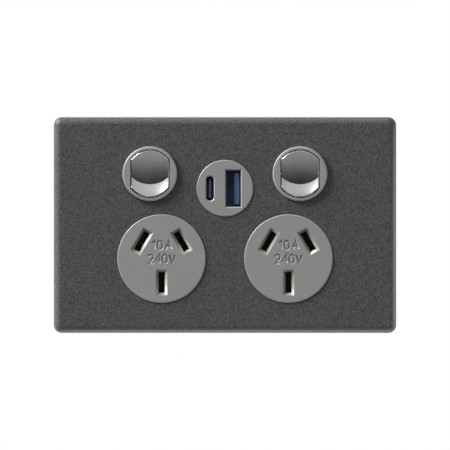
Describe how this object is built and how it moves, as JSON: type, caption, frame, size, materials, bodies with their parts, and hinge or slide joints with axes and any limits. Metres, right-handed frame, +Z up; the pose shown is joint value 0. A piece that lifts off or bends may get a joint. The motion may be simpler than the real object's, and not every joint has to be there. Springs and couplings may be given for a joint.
{
  "type": "usb wall socket",
  "caption": "Double wall socket with two rocker switches and a USB charger with a large and a small port, in an anthracite cover.",
  "frame": {"origin": "wall plane, centre of the plate and of the two wall screws", "axes": "+Z up, +X to the viewer's right, the front faces -Y and the housing goes into the wall along +Y"},
  "size_m": [0.119, 0.0363, 0.075],
  "materials": {
    "anthracite_cover": "satin",
    "grey_plastic": "satin",
    "rocker_plastic": "gloss",
    "frame_plastic": "matte",
    "white_plastic": "satin",
    "blue_plastic": "gloss",
    "black_plastic": "satin",
    "brass": "satin",
    "silver": "satin",
    "gold": "gloss",
    "steel": "satin",
    "board": "satin",
    "ferrite": "matte",
    "winding_tape": "gloss",
    "capacitor_sleeve": "gloss"
  },
  "bodies": {
    "mechanism": {"mounting_frame": "frame_plastic", "rear_housing": "frame_plastic", "case_screws": "steel", "socket_face_left": "grey_plastic", "socket_face_right": "grey_plastic", "switch_bezel_left": "grey_plastic", "switch_bezel_right": "grey_plastic", "neutral_bar": "brass", "earth_bar": "brass", "switched_contact_left": "brass", "switched_contact_right": "brass", "active_bar": "brass", "fixed_contact_left": "silver", "fixed_contact_right": "silver", "terminal_active": "brass", "terminal_loop": "brass", "terminal_neutral": "brass", "terminal_earth": "brass", "terminal_screws": "steel", "usb_face": "grey_plastic", "usb_a_shell": "steel", "usb_a_tongue": "blue_plastic", "usb_a_contacts": "gold", "usb_c_shell": "steel", "usb_c_tongue": "blue_plastic", "usb_c_contacts": "gold", "usb_board": "board", "transformer_core": "ferrite", "transformer_winding": "winding_tape", "input_capacitor": "capacitor_sleeve", "output_capacitor_a": "capacitor_sleeve", "output_capacitor_c": "capacitor_sleeve", "controller_chip": "black_plastic", "rectifier_chip": "black_plastic", "fuse_resistor": "capacitor_sleeve", "feed_pin_active": "brass", "feed_pin_neutral": "brass"},
    "cover": {"cover_plate": "anthracite_cover"},
    "rocker_left": {"rocker_left": "rocker_plastic", "plunger_left": "white_plastic", "plunger_spring_left": "steel"},
    "rocker_right": {"rocker_right": "rocker_plastic", "plunger_right": "white_plastic", "plunger_spring_right": "steel"},
    "lever_left": {"contact_lever_left": "brass", "moving_contact_left": "silver"},
    "lever_right": {"contact_lever_right": "brass", "moving_contact_right": "silver"}
  },
  "joints": [
    {"name": "cover_pull_off", "type": "slide", "parent": "mechanism", "child": "cover", "axis": [0, -1, 0], "range_m": [0, 0.03]},
    {"name": "rocker_left_hinge", "type": "hinge", "parent": "mechanism", "child": "rocker_left", "pos_m": [-0.026, -0.00695, 0.01777], "axis": [1, 0, 0], "range_deg": [0, 30]},
    {"name": "lever_left_hinge", "type": "hinge", "parent": "mechanism", "child": "lever_left", "pos_m": [-0.026, 0.00605, 0.01777], "axis": [1, 0, 0], "range_deg": [-16, 0]},
    {"name": "rocker_right_hinge", "type": "hinge", "parent": "mechanism", "child": "rocker_right", "pos_m": [0.026, -0.00695, 0.01777], "axis": [1, 0, 0], "range_deg": [0, 30]},
    {"name": "lever_right_hinge", "type": "hinge", "parent": "mechanism", "child": "lever_right", "pos_m": [0.026, 0.00605, 0.01777], "axis": [1, 0, 0], "range_deg": [-16, 0]}
  ],
  "couplings": [
    {"joint": "lever_left_hinge", "follows": "rocker_left_hinge", "ratio": -0.53333},
    {"joint": "lever_right_hinge", "follows": "rocker_right_hinge", "ratio": -0.53333}
  ]
}
